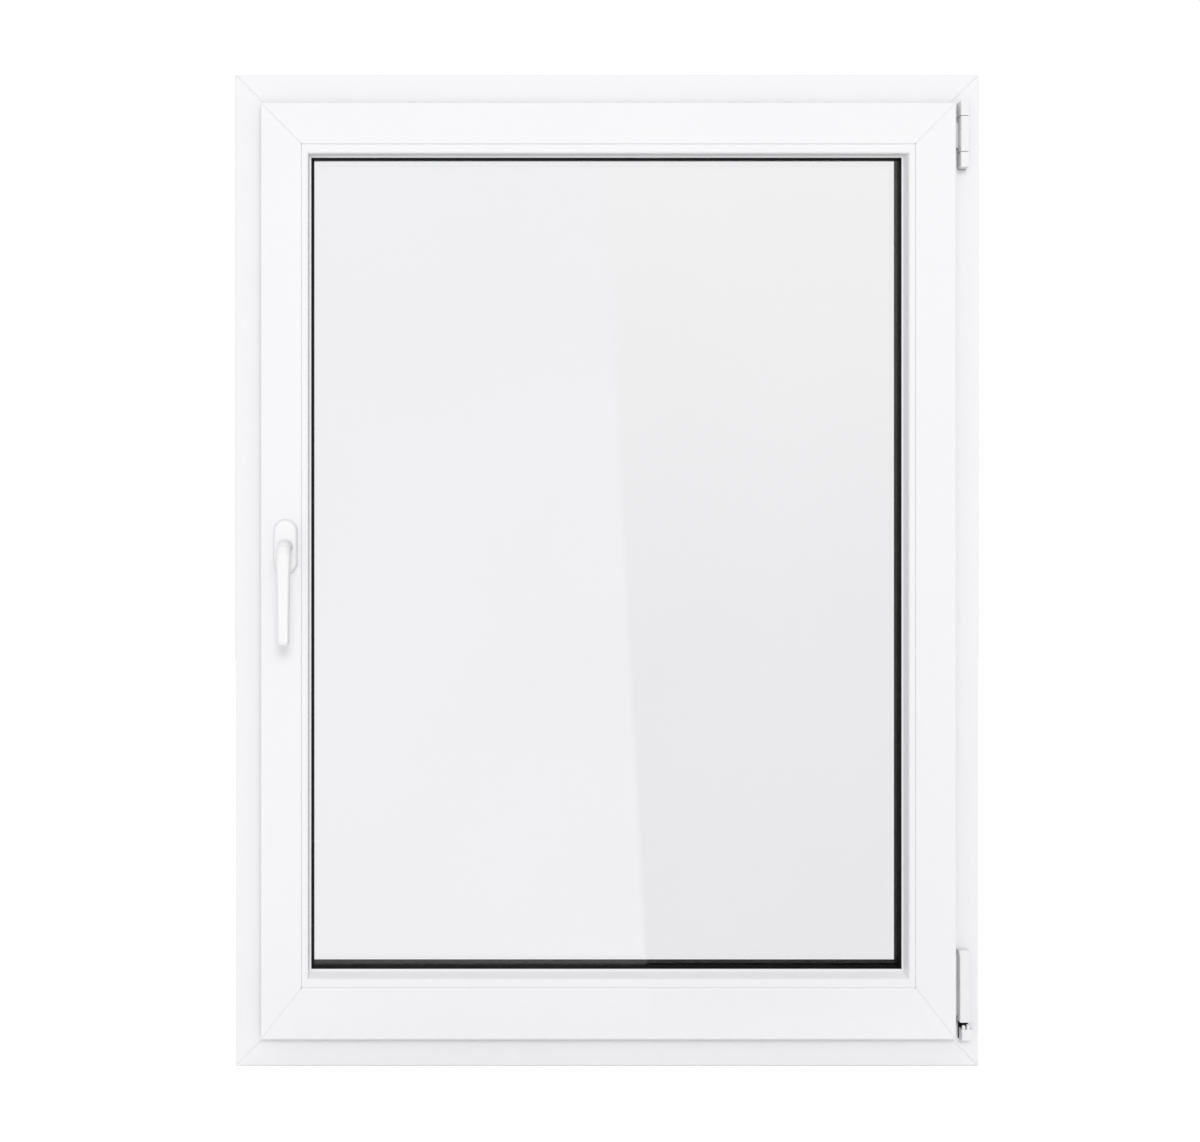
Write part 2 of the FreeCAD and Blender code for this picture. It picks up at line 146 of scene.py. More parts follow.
def inwardOf(vert):
    # bars and rings have vertices only at their corners, so X alone tells the distance in
    return min(vert.co.x - leftEdge, rightEdge - vert.co.x)


def setOver(bm, verts, sides):
    # each side moves by its own distance, the uprights along X and the others along Z
    for side, distance in sides.items():
        axis = 2 if runsAcross(side) else 0
        step = Vector((0, 0, 0))
        step[axis] = distance
        near = [vert for vert in verts if (vert.co[axis] > middle[axis]) == (side in ("right", "top"))]
        bmesh.ops.translate(bm, vec=step, verts=near)


def weldSeams(bm, width, frontLimit, backLimit=math.inf):
    # a V along the mitre where the room face and the outdoor face show it
    ends = [face for face in bm.faces if min(abs(face.normal.x), abs(face.normal.z)) > mitreLean]
    seen = []
    for edge in bm.edges:
        depths = [vert.co.y for vert in edge.verts]
        shows = max(depths) < frontLimit or min(depths) > backLimit
        if shows and any(face in ends for face in edge.link_faces):
            seen.append(edge)
    roundEdges(bm, seen, width, segments=1)


def ringAround(outline, rounding):
    # one loop of the outline walks round the four corners and closes on itself
    bm = bmesh.new()
    corners = [bm.verts.new(cornerPoint("bottom", inward, depth)) for inward, depth in outline]
    loop = [bm.edges.new((corners[i - 1], corners[i])) for i in range(len(corners))]
    for across in (True, False, True, False):
        grown = bmesh.ops.extrude_edge_only(bm, edges=loop)
        fresh = grownVerts(grown)
        loop = [edge for edge in grownEdges(grown) if all(vert in fresh for vert in edge.verts)]
        mirrorVerts(bm, fresh, across)
    bmesh.ops.remove_doubles(bm, verts=bm.verts, dist=tiny)
    lengthwise = [edge for edge in bm.edges if edge.calc_length() > longRun]
    roundEdges(bm, lengthwise, rounding, segments=3)
    return bm


def linkMesh(name, bm, material):
    mesh = bpy.data.meshes.new(name)
    bm.to_mesh(mesh)
    bm.free()
    mesh.materials.append(material)
    piece = bpy.data.objects.new(name, mesh)
    bpy.context.scene.collection.objects.link(piece)
    return piece


def newPiece(name, bm, material, body, replaced, sharpAngle=32):
    bmesh.ops.remove_doubles(bm, verts=bm.verts, dist=tiny / 10)
    bmesh.ops.recalc_face_normals(bm, faces=bm.faces)
    piece = linkMesh(name, bm, material)
    piece.data.shade_smooth()
    piece.data.set_sharp_from_angle(angle=math.radians(sharpAngle))
    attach(piece, body)
    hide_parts(*replaced)
    return piece


def evenShading(piece):
    # wide flats keep their own normal beside narrow roundings
    modifier = piece.modifiers.new("evenShading", "WEIGHTED_NORMAL")
    modifier.mode = "FACE_AREA"
    modifier.keep_sharp = True


# Shared skins
def newSkin(name, inputs):
    group = bpy.data.node_groups.new(name, "ShaderNodeTree")
    for socketName, socketType, value in inputs:
        socket = group.interface.new_socket(socketName, in_out="INPUT", socket_type=socketType)
        if value is not None:
            socket.default_value = value
    for socketName in ("Tone", "Gloss", "Relief"):
        group.interface.new_socket(socketName, in_out="OUTPUT", socket_type="NodeSocketFloat")
    return group, group.nodes.new("NodeGroupInput"), group.nodes.new("NodeGroupOutput")


def feed(tree, value, socket):
    if isinstance(value, (int, float)):
        socket.default_value = value
    else:
        tree.links.new(value, socket)


def addNoise(tree, vector, scale, detail):
    noise = tree.nodes.new("ShaderNodeTexNoise")
    noise.inputs["Detail"].default_value = detail
    tree.links.new(vector, noise.inputs["Vector"])
    feed(tree, scale, noise.inputs["Scale"])
    return noise.outputs["Fac"]


def addMath(tree, operation, first, second):
    node = tree.nodes.new("ShaderNodeMath")
    node.operation = operation
    feed(tree, first, node.inputs[0])
    feed(tree, second, node.inputs[1])
    return node.outputs["Value"]


def blendValues(tree, first, second, share):
    kept = addMath(tree, "MULTIPLY", first, 1 - share)
    added = addMath(tree, "MULTIPLY", second, share)
    return addMath(tree, "ADD", kept, added)


def fillSkin(group, end, blends):
    # each output blends two patterns, and the number is the share of the second
    for socketName, (first, second, share) in blends.items():
        group.links.new(blendValues(group, first, second, share), end.inputs[socketName])


def makeDrawnSkin():
    # fine lines left by the die along an extruded bar, over a slow drift in tone
    group, start, end = newSkin("drawnSkin", [
        ("Point", "NodeSocketVector", None),
        ("Stretch", "NodeSocketVector", (1, 1, 1)),
        ("Drift", "NodeSocketFloat", 5.0),
        ("Peel", "NodeSocketFloat", 700.0),
    ])
    point = start.outputs["Point"]
    stretched = group.nodes.new("ShaderNodeVectorMath")
    stretched.operation = "MULTIPLY"
    group.links.new(point, stretched.inputs[0])
    group.links.new(start.outputs["Stretch"], stretched.inputs[1])
    lines = addNoise(group, stretched.outputs["Vector"], scale=1.0, detail=3)
    drift = addNoise(group, point, start.outputs["Drift"], detail=2)
    peel = addNoise(group, point, start.outputs["Peel"], detail=1)
    fillSkin(group, end, {
        "Tone": (drift, lines, 0.25),
        "Gloss": (drift, lines, 0.6),
        "Relief": (lines, peel, 0.35),
    })
    return group


def makeMouldedSkin():
    # stipple of a moulded or powder-coated piece
    group, start, end = newSkin("mouldedSkin", [
        ("Point", "NodeSocketVector", None),
        ("Stipple", "NodeSocketFloat", 1500.0),
        ("Drift", "NodeSocketFloat", 30.0),
    ])
    point = start.outputs["Point"]
    stipple = addNoise(group, point, start.outputs["Stipple"], detail=2)
    drift = addNoise(group, point, start.outputs["Drift"], detail=3)
    fillSkin(group, end, {
        "Tone": (drift, stipple, 0.25),
        "Gloss": (drift, stipple, 0.5),
        "Relief": (stipple, drift, 0.2),
    })
    return group


drawnSkin = makeDrawnSkin()
mouldedSkin = makeMouldedSkin()


# Finishes
noiseLow, noiseHigh = 0.3, 0.7    # nearly all of the noise lies between


def startMaterial(name):
    material = bpy.data.materials.new(name)
    material.use_nodes = True
    tree = material.node_tree
    shader = tree.nodes["Principled BSDF"]
    point = tree.nodes.new("ShaderNodeTexCoord").outputs["Object"]
    return material, tree, shader, point


def placeSkin(tree, group, point, values):
    skin = tree.nodes.new("ShaderNodeGroup")
    skin.node_tree = group
    tree.links.new(point, skin.inputs["Point"])
    for socketName, value in values.items():
        skin.inputs[socketName].default_value = value
    return skin.outputs["Tone"], skin.outputs["Gloss"], skin.outputs["Relief"]


def toneRamp(tree, tone, dark, light, target):
    ramp = tree.nodes.new("ShaderNodeValToRGB")
    ramp.color_ramp.elements[0].position = noiseLow
    ramp.color_ramp.elements[1].position = noiseHigh
    ramp.color_ramp.elements[0].color = (*dark, 1)
    ramp.color_ramp.elements[1].color = (*light, 1)
    tree.links.new(tone, ramp.inputs["Fac"])
    tree.links.new(ramp.outputs["Color"], target)


def glossRange(tree, gloss, low, high, target):
    spread = tree.nodes.new("ShaderNodeMapRange")
    spread.inputs["From Min"].default_value = noiseLow
    spread.inputs["From Max"].default_value = noiseHigh
    spread.inputs["To Min"].default_value = low
    spread.inputs["To Max"].default_value = high
    tree.links.new(gloss, spread.inputs["Value"])
    tree.links.new(spread.outputs["Result"], target)


def reliefBump(tree, relief, strength, distance, target):
    bump = tree.nodes.new("ShaderNodeBump")
    bump.inputs["Strength"].default_value = strength
    bump.inputs["Distance"].default_value = distance
    tree.links.new(relief, bump.inputs["Height"])
    tree.links.new(bump.outputs["Normal"], target)


def finishShader(tree, shader, skin, finish):
    tone, gloss, relief = skin
    toneRamp(tree, tone, finish["dark"], finish["light"], shader.inputs["Base Color"])
    glossRange(tree, gloss, finish["smooth"], finish["rough"], shader.inputs["Roughness"])
    reliefBump(tree, relief, finish["bump"], finish["depth"], shader.inputs["Normal"])
    shader.inputs["Metallic"].default_value = finish.get("metal", 0.0)
    shader.inputs["Specular IOR Level"].default_value = finish.get("shine", 0.5)


def skinnedMaterial(name, group, values, finish):
    material, tree, shader, point = startMaterial(name)
    finishShader(tree, shader, placeSkin(tree, group, point, values), finish)
    return material


upvcFinish = {
    "dark": (0.872, 0.872, 0.888),
    "light": (0.884, 0.884, 0.899),
    "smooth": 0.27,
    "rough": 0.33,
    "bump": 0.04,
    "depth": 0.02 * mm,
}
linesAcross = {"Stretch": (0.9, 1700, 1700), "Drift": 4.0, "Peel": 800.0}
linesUp = {"Stretch": (1700, 1700, 0.9), "Drift": 4.0, "Peel": 800.0}
upvcAcross = skinnedMaterial("upvcAcross", drawnSkin, linesAcross, upvcFinish)
upvcUp = skinnedMaterial("upvcUp", drawnSkin, linesUp, upvcFinish)

handleFinish = {
    "dark": (0.882, 0.882, 0.893),
    "light": (0.906, 0.906, 0.915),
    "smooth": 0.26,
    "rough": 0.38,
    "bump": 0.16,
    "depth": 0.05 * mm,
}
handleCoat = skinnedMaterial("handleCoat", mouldedSkin, {"Stipple": 1700.0, "Drift": 40.0}, handleFinish)

coverFinish = {
    "dark": (0.832, 0.834, 0.842),
    "light": (0.858, 0.860, 0.866),
    "smooth": 0.30,
    "rough": 0.42,
    "bump": 0.14,
    "depth": 0.04 * mm,
}
hingeCover = skinnedMaterial("hingeCover", mouldedSkin, {"Stipple": 2200.0, "Drift": 60.0}, coverFinish)

rubberFinish = {
    "dark": (0.005, 0.005, 0.0055),
    "light": (0.011, 0.011, 0.0115),
    "smooth": 0.40,
    "rough": 0.52,
    "bump": 0.10,
    "depth": 0.02 * mm,
    "shine": 0.30,
}
gasketRubber = skinnedMaterial(
    "gasketRubber", mouldedSkin, {"Stipple": 1300.0, "Drift": 22.0}, rubberFinish)

# near-black metal as painted shade, so the hinge pins and plates read as the dark shadowed gaps round the
# hinges
shadeDarkSteelFinish = {
    "dark": (0.020, 0.020, 0.022),
    "light": (0.045, 0.045, 0.048),
    "smooth": 0.34,
    "rough": 0.5,
    "bump": 0.2,
    "depth": 0.04 * mm,
    "metal": 1.0,
}
shadeDarkSteel = skinnedMaterial(
    "shadeDarkSteel", drawnSkin, {"Stretch": (900, 900, 25), "Drift": 45.0, "Peel": 1500.0}, shadeDarkSteelFinish)

spacerFinish = {
    "dark": (0.003, 0.003, 0.003),
    "light": (0.017, 0.017, 0.018),
    "smooth": 0.5,
    "rough": 0.68,
    "bump": 0.5,
    "depth": 0.3 * mm,
    "shine": 0.3,
    "glossShare": 0.3,         # of the gloss pattern in the tone
    "grain": 0.15,             # stipple against the depth of a hole
    "holePitch": 6 * mm,
    "holeRadius": 0.55 * mm,
    "rowOffset": 3.2 * mm,     # each row of holes from the cavity's middle
}


def makeSpacerMaterial():
    # matt bar with two rows of breather holes towards the cavity; the holes are painted black as painted
    # shade inside them, and sunk by the bump
    cavityMiddle = (innerPaneHigh.y + outerPaneLow.y) / 2
    material, tree, shader, point = startMaterial("spacerMatt")
    tone, gloss, relief = placeSkin(tree, mouldedSkin, point, {"Stipple": 1100.0, "Drift": 26.0})
    axes = tree.nodes.new("ShaderNodeSeparateXYZ")
    tree.links.new(point, axes.inputs["Vector"])
    along = addMath(tree, "ADD", axes.outputs["X"], axes.outputs["Z"])
    beat = addMath(tree, "PINGPONG", along, spacerFinish["holePitch"] / 2)
    fromMiddle = addMath(tree, "SUBTRACT", axes.outputs["Y"], cavityMiddle)
    fromMiddle = addMath(tree, "ABSOLUTE", fromMiddle, 0.0)
    fromRow = addMath(tree, "SUBTRACT", fromMiddle, spacerFinish["rowOffset"])
    beatSquare = addMath(tree, "MULTIPLY", beat, beat)
    rowSquare = addMath(tree, "MULTIPLY", fromRow, fromRow)
    reach = addMath(tree, "SQRT", addMath(tree, "ADD", beatSquare, rowSquare), 0.0)
    solid = addMath(tree, "GREATER_THAN", reach, spacerFinish["holeRadius"])
    blended = blendValues(tree, tone, gloss, spacerFinish["glossShare"])
    # painted shade: the tone drops to black inside each hole
    holesShadedTone = addMath(tree, "MULTIPLY", blended, solid)
    grain = addMath(tree, "MULTIPLY", relief, spacerFinish["grain"])
    sunk = addMath(tree, "ADD", grain, solid)
    finishShader(tree, shader, (holesShadedTone, gloss, sunk), spacerFinish)
    return material


glassFinish = {
    "dark": (0.967, 0.967, 0.977),
    "light": (0.975, 0.975, 0.985),
    "drift": 3.0,
    "wave": 2.6,
    "bump": 0.012,
    "depth": 0.5 * mm,
    "index": 1.5,
}


def makeGlassMaterial():
    # float glass: a breath of tint that drifts, and a very slow roller wave
    material, tree, shader, point = startMaterial("floatGlass")
    drift = addNoise(tree, point, glassFinish["drift"], detail=1)
    toneRamp(tree, drift, glassFinish["dark"], glassFinish["light"], shader.inputs["Base Color"])
    wave = addNoise(tree, point, glassFinish["wave"], detail=0)
    reliefBump(tree, wave, glassFinish["bump"], glassFinish["depth"], shader.inputs["Normal"])
    shader.inputs["Roughness"].default_value = 0.0
    shader.inputs["IOR"].default_value = glassFinish["index"]
    shader.inputs["Transmission Weight"].default_value = 1.0
    return material


spacerMatt = makeSpacerMaterial()
floatGlass = makeGlassMaterial()
print("stage: finishes made,", len(bpy.data.materials), "materials")


def upvcFor(side):
    return upvcAcross if runsAcross(side) else upvcUp


# Outer frame
frameBars = {
    "body": 45 * mm,           # outer edge to the rebate
    "stop": 22 * mm,           # outdoor stop above the rebate
    "stopFall": 5 * mm,
    "round": 2.5 * mm,
    "stopRound": 1.25 * mm,
    "grooveWidth": 8 * mm,
    "grooveDepth": 4 * mm,
    "grooveInset": 16 * mm,
    "seam": 1.1 * mm,
    "pieces": {
        "bottom": ("frameSill", "frame_sill"),
        "top": ("frameHead", "frame_head"),
        "left": ("frameJambLeft", "frame_left_jamb"),
        "right": ("frameJambRight", "frame_right_jamb"),
    },
}


def clipGroove(nearDepth):
    # walked from the outdoor side towards the room
    depth = frameBars["grooveDepth"]
    farDepth = nearDepth - frameBars["grooveWidth"]
    return [(0, nearDepth, 0), (depth, nearDepth, 0), (depth, farDepth, 0), (0, farDepth, 0)]


def makeFrameBars():
    front, back = sillLow.y, sillHigh.y
    body = frameBars["body"]
    stopEdge = body + frameBars["stop"]
    stopFront = stopSealHigh.y
    outline = [
        (0, front, frameBars["round"]),
        (body, front, frameBars["round"]),
        (body, stopFront, 0),
        (stopEdge, stopFront, frameBars["stopRound"]),
        (stopEdge - frameBars["stopFall"], back, frameBars["round"]),
        (0, back, frameBars["round"]),
    ]
    outline += clipGroove(back - frameBars["grooveInset"])
    outline += clipGroove(front + frameBars["grooveInset"] + frameBars["grooveWidth"])
    for side, (name, node) in frameBars["pieces"].items():
        bm = mitredBar(side, outline)
        weldSeams(bm, frameBars["seam"], front + frameBars["round"] / 2, back - frameBars["round"] / 2)
        evenShading(newPiece(name, bm, upvcFor(side), "window", [node]))


# Sash
sashBars = {
    "lipRound": 2.2 * mm,
    "beadSideRound": 1.5 * mm,
    "legRound": 0.75 * mm,
    "legCover": 11.5 * mm,     # bead seat to the outdoor glazing leg's edge
    "legFall": 4 * mm,         # slope of that edge
    "glazingCover": 15.5 * mm,    # bead seat to the clear glass
    "rebateGap": 12 * mm,      # clear room between frame and sash
    # how far each side of the lip's outer edge is set over, along X or Z
    "lipSet": {"left": -2.6 * mm, "right": 2.4 * mm, "bottom": 2.0 * mm, "top": -2.6 * mm},
    "seam": 1.1 * mm,
    "pieces": {
        "bottom": ("sashRailBottom", "sash_bottom_rail"),
        "top": ("sashRailTop", "sash_top_rail"),
        "left": ("sashStileLeft", "sash_left_stile"),
        "right": ("sashStileRight", "sash_right_stile"),
    },
}
sightLine = beadSeat + sashBars["glazingCover"]
legEdge = beadSeat + sashBars["legCover"]


def makeSashBars():
    front, back = railLow.y, railHigh.y
    sashEdge = frameBars["body"] + sashBars["rebateGap"]
    lipBack = lipSealLow.y
    legFront = legGasketHigh.y
    outline = [
        (lipEdge, front, sashBars["lipRound"]),
        (beadSeat, front, sashBars["beadSideRound"]),
        (beadSeat, legFront, 0),
        (legEdge, legFront, sashBars["legRound"]),
        (legEdge - sashBars["legFall"], back, sashBars["lipRound"]),
        (sashEdge, back, sashBars["beadSideRound"]),
        (sashEdge, lipBack, 0),
        (lipEdge, lipBack, sashBars["beadSideRound"]),
    ]
    for side, (name, node) in sashBars["pieces"].items():
        bm = mitredBar(side, outline)
        inRebate = [
            vert for vert in bm.verts
            if vert.co.y > lipBack - tiny
            and min(vert.co.z - bottomEdge, topEdge - vert.co.z) < beadSeat - tiny
        ]
        stretchRails(bm, [vert for vert in bm.verts if vert not in inRebate])
        lip = [
            vert for vert in bm.verts
            if vert.co.y < lipBack + tiny and inwardOf(vert) < lipEdge + sashBars["lipRound"] + tiny
        ]
        setOver(bm, lip, sashBars["lipSet"])
        weldSeams(bm, sashBars["seam"], front + sashBars["beadSideRound"], back - sashBars["beadSideRound"])
        evenShading(newPiece(name, bm, upvcFor(side), "window", [node]))


# Glazing beads
beadBars = {
    "flat": 7.5 * mm,
    "seatRound": 0.8 * mm,
    "faceRound": 2.0 * mm,
    "nose": 1.6 * mm,
    "noseRound": 0.4 * mm,
    "ledge": 1.7 * mm,         # narrow flat beside the gasket
    "ledgeRound": 0.6 * mm,
    # how far each side is set over: the edge beside the gasket, and the edge where the slope starts
    "edgeSet": {"left": -1.9 * mm, "right": -0.8 * mm, "bottom": 2.0 * mm, "top": 0.3 * mm},
    "faceSet": {"top": -2.2 * mm},
    "seam": 0.25 * mm,
}


def makeBeads():
    front, back = beadLow.y, beadHigh.y
    outline = [
        (beadSeat, front, beadBars["seatRound"]),
        (beadSeat + beadBars["flat"], front, beadBars["faceRound"]),
        (beadEdge - beadBars["ledge"], back - beadBars["nose"], beadBars["ledgeRound"]),
        (beadEdge, back - beadBars["nose"], beadBars["noseRound"]),
        (beadEdge, back, 0),
        (beadSeat, back, 0),
    ]
    for side in ("bottom", "top", "left", "right"):
        bm = mitredBar(side, outline)
        stretchRails(bm, bm.verts)
        slope = [vert for vert in bm.verts if inwardOf(vert) > beadSeat + beadBars["flat"] / 2]
        halfway = (front + back) / 2
        setOver(bm, [vert for vert in slope if vert.co.y < halfway], beadBars["faceSet"])
        setOver(bm, [vert for vert in slope if vert.co.y > halfway], beadBars["edgeSet"])
        weldSeams(bm, beadBars["seam"], back - tiny)
        evenShading(newPiece(side + "Bead", bm, upvcFor(side), "window", [side + "_bead"]))


# Gaskets and seals
gaskets = {
    # points across the two lips, as shares of the width that shows and of the depth
    "frontLip": ((0.10, 0.0), (0.42, 0.18), (0.62, 0.40)),
    "groove": (0.62, 0.52),
    "backLip": ((0.92, 0.66), (1.0, 0.84)),
    "ridge": 0.5 * mm,         # the groove runs back under the front lip
    "round": 0.3 * mm,
    "sealWidth": 4.5 * mm,
    "sealRound": 1.2 * mm,
    "legLip": 1.1 * mm,
    # how far each side of the two glazing gaskets is set over
    "innerSet": {"left": -0.9 * mm, "right": -0.8 * mm, "bottom": 2.0 * mm, "top": 0.6 * mm},
    "outerSet": {"top": 2.0 * mm},
}


def makeGaskets():
    # two soft lips with a fine groove between them lie against the room side of the glass
    front, back = beadGasketLow.y, beadGasketHigh.y
    foot = beadGasketLow.x - leftEdge
    show = sightLine - beadEdge
    deep = back - front

    def lipPoint(wideShare, deepShare):
        return beadEdge + wideShare * show, front + deepShare * deep

    grooveIn, grooveDepth = lipPoint(*gaskets["groove"])
    inner = [(foot, front)]
    inner += [lipPoint(*shares) for shares in gaskets["frontLip"]]
    inner.append((grooveIn - gaskets["ridge"], grooveDepth))
    inner += [lipPoint(*shares) for shares in gaskets["backLip"]]
    inner += [(sightLine, back), (foot, back)]
    legFront, legBack = legGasketLow.y, legGasketHigh.y
    outer = [
        (foot, legFront),
        (legEdge + gaskets["legLip"], legFront),
        (legEdge, legBack),
        (foot, legBack),
    ]
    rings = (
        ("glazingGasketInner", "inner_glazing_gasket", inner, gaskets["innerSet"]),
        ("glazingGasketOuter", "outer_glazing_gasket", outer, gaskets["outerSet"]),
    )
    for name, node, outline, sides in rings:
        bm = ringAround(outline, gaskets["round"])
        stretchRails(bm, bm.verts)
        setOver(bm, bm.verts, sides)
        newPiece(name, bm, gasketRubber, "window", [node])


def makeSeals():
    lipNear = lipSealLow.z - bottomEdge
    stopNear = stopSealLow.z - bottomEdge
    seals = (
        ("lipSeal", "inner_sash_seal", lipNear, lipSealLow.y, lipSealHigh.y),
        ("stopSeal", "outer_frame_seal", stopNear, stopSealLow.y, stopSealHigh.y),
    )
    for name, node, near, front, back in seals:
        far = near + gaskets["sealWidth"]
        outline = [(near, front), (far, front), (far, back), (near, back)]
        bm = ringAround(outline, gaskets["sealRound"])
        newPiece(name, bm, gasketRubber, "window", [node])


# Spacer bar between the panes
spacer = {
    "edgeGap": 4.6 * mm,       # bead seat to the edge of the glass
    "setback": 1.8 * mm,       # from the clear glass
    "clear": 0.05 * mm,        # to each pane
    "round": 0.3 * mm,
    # how far each side of the edge towards the clear glass is set over
    "innerSet": {"left": -0.9 * mm, "right": -1.6 * mm, "bottom": 3.6 * mm, "top": 1.9 * mm},
}


def makeSpacer():
    low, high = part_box("glass_spacer_bar")
    outer, inner = beadSeat + spacer["edgeGap"], sightLine - spacer["setback"]
    front, back = low.y + spacer["clear"], high.y - spacer["clear"]
    bm = ringAround([(outer, front), (inner, front), (inner, back), (outer, back)], spacer["round"])
    stretchRails(bm, bm.verts)
    towardsGlass = [vert for vert in bm.verts if inwardOf(vert) > (outer + inner) / 2]
    # the glass stands off the middle of the window, so the ring moves to its node's middle
    heights = [vert.co.z for vert in bm.verts]
    lift = (low.z + high.z) / 2 - (min(heights) + max(heights)) / 2
    bmesh.ops.translate(bm, vec=((low.x + high.x) / 2 - middle.x, 0, lift), verts=bm.verts)
    setOver(bm, towardsGlass, spacer["innerSet"])
    newPiece("glassSpacer", bm, spacerMatt, "window", ["glass_spacer_bar"])


makeFrameBars()
makeSashBars()
makeBeads()
makeGaskets()
makeSeals()
makeSpacer()
print("stage: bars, beads, gaskets, seals and spacer made")


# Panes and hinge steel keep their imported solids
def dressNode(node, material):
    frame["nodes"][node].material_slots[0].material = material


for pane in ("inner_glass_pane", "outer_glass_pane"):
    dressNode(pane, floatGlass)
    frame["nodes"][pane].visible_shadow = False    # daylight passes the panes
# the hinge pins and plates take the near-black steel as painted shade in the hinge gaps
for part in ("upper_hinge_pin", "upper_hinge_plate", "lower_hinge_pivot", "lower_hinge_plate"):
    dressNode(part, shadeDarkSteel)
print("stage: glazing and hinge steel dressed")


# Hinge covers
hingeCovers = {
    "frontRound": 1.8 * mm,
    "backRound": 0.8 * mm,
    "endRound": 0.7 * mm,
    "sleeveWidth": 13 * mm,    # of the lower hinge
    "slopeHeight": 6 * mm,     # sloped top of that sleeve
    "slopeDepth": 5 * mm,
    "leafMargin": 6 * mm,
    "leafThickness": 1.4 * mm,
    "lugDiameter": 4.2 * mm,
    "lugHeight": 5 * mm,
    "lugSpacing": 5.4 * mm,
    "lugMargin": 0.5 * mm,
    "lugRound": 1.4 * mm,
    "lugSegments": 28,
}
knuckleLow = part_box("upper_hinge_cap")[0]


def uprightEdges(bm, depth):
    return [
        edge for edge in bm.edges
        if all(abs(vert.co.y - depth) < tiny for vert in edge.verts)
        and abs(edge.verts[0].co.x - edge.verts[1].co.x) < tiny
        and abs(edge.verts[0].co.z - edge.verts[1].co.z) > tiny
    ]


def levelRim(bm, height):
    return [edge for edge in bm.edges if all(abs(vert.co.z - height) < tiny for vert in edge.verts)]


def coverBlock(low, high):
    bm = bmesh.new()
    bmesh.ops.create_cube(bm, size=1.0)
    bmesh.ops.scale(bm, vec=high - low, verts=bm.verts)
    bmesh.ops.translate(bm, vec=(low + high) / 2, verts=bm.verts)
    return bm


def roundUprights(bm, low, high):
    roundEdges(bm, uprightEdges(bm, low.y), hingeCovers["frontRound"], segments=8)
    roundEdges(bm, uprightEdges(bm, high.y), hingeCovers["backRound"], segments=3)


def roundCover(bm, low, high):
    roundUprights(bm, low, high)
    roundEdges(bm, levelRim(bm, low.z) + levelRim(bm, high.z), hingeCovers["endRound"], segments=3)


def growLeaf(bm, low, high, leafLow):
    # the leaf under the sash lip grows out of the cover's flank
    bottom = low.z + hingeCovers["leafMargin"]
    top = high.z - hingeCovers["leafMargin"]
    back = high.y - hingeCovers["backRound"]
    front = back - hingeCovers["leafThickness"]
    up, outdoors = Vector((0, 0, 1)), Vector((0, 1, 0))
    for point, normal in ((up * bottom, up), (up * top, up), (outdoors * front, outdoors)):
        geometry = bm.verts[:] + bm.edges[:] + bm.faces[:]
        bmesh.ops.bisect_plane(bm, geom=geometry, plane_co=point, plane_no=normal, dist=tiny)
    bm.normal_update()
    root = []
    for face in bm.faces:
        centre = face.calc_center_median()
        onFlank = abs(centre.x - low.x) < tiny
        if onFlank and bottom < centre.z < top and front < centre.y < back:
            root.append(face)
    grown = bmesh.ops.extrude_face_region(bm, geom=root)
    bmesh.ops.translate(bm, vec=Vector((leafLow.x - low.x, 0, 0)), verts=grownVerts(grown))
    bmesh.ops.delete(bm, geom=root, context="FACES")


def newCover(name, bm, node):
    evenShading(newPiece(name, bm, hingeCover, "window", [node]))


def makeUpperHinge():
    covers = {
        "upperHingeCap": "upper_hinge_cap",
        "upperHingeSleeve": "upper_hinge_sleeve",
        "upperHingeFoot": "upper_hinge_foot",
    }
    for name, node in covers.items():
        nodeLow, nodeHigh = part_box(node)
        low = Vector((knuckleLow.x, nodeLow.y, nodeLow.z))
        bm = coverBlock(low, nodeHigh)
        roundCover(bm, low, nodeHigh)
        if nodeLow.x < knuckleLow.x - tiny:
            growLeaf(bm, low, nodeHigh, nodeLow)
        newCover(name, bm, node)


def slopeTop(bm, low, high):
    # the front of the top is cut off at a slope and closed again
    start = Vector((0, low.y, high.z - hingeCovers["slopeHeight"]))
    normal = Vector((0, -hingeCovers["slopeHeight"], hingeCovers["slopeDepth"])).normalized()
    geometry = bm.verts[:] + bm.edges[:] + bm.faces[:]
    cut = bmesh.ops.bisect_plane(bm, geom=geometry, plane_co=start, plane_no=normal,
                                 dist=tiny, clear_outer=True)
    rim = [item for item in cut["geom_cut"] if isinstance(item, bmesh.types.BMEdge)]
    bmesh.ops.contextual_create(bm, geom=rim)
    return rim


def makeLowerSleeve():
    nodeLow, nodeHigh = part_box("lower_hinge_sleeve")
    low = Vector((nodeHigh.x - hingeCovers["sleeveWidth"], nodeLow.y, nodeLow.z))
    bm = coverBlock(low, nodeHigh)
    roundUprights(bm, low, nodeHigh)
    growLeaf(bm, low, nodeHigh, nodeLow)
    rim = slopeTop(bm, low, nodeHigh)
    roundEdges(bm, rim + levelRim(bm, low.z), hingeCovers["endRound"], segments=3)
    newCover("lowerHingeSleeve", bm, "lower_hinge_sleeve")


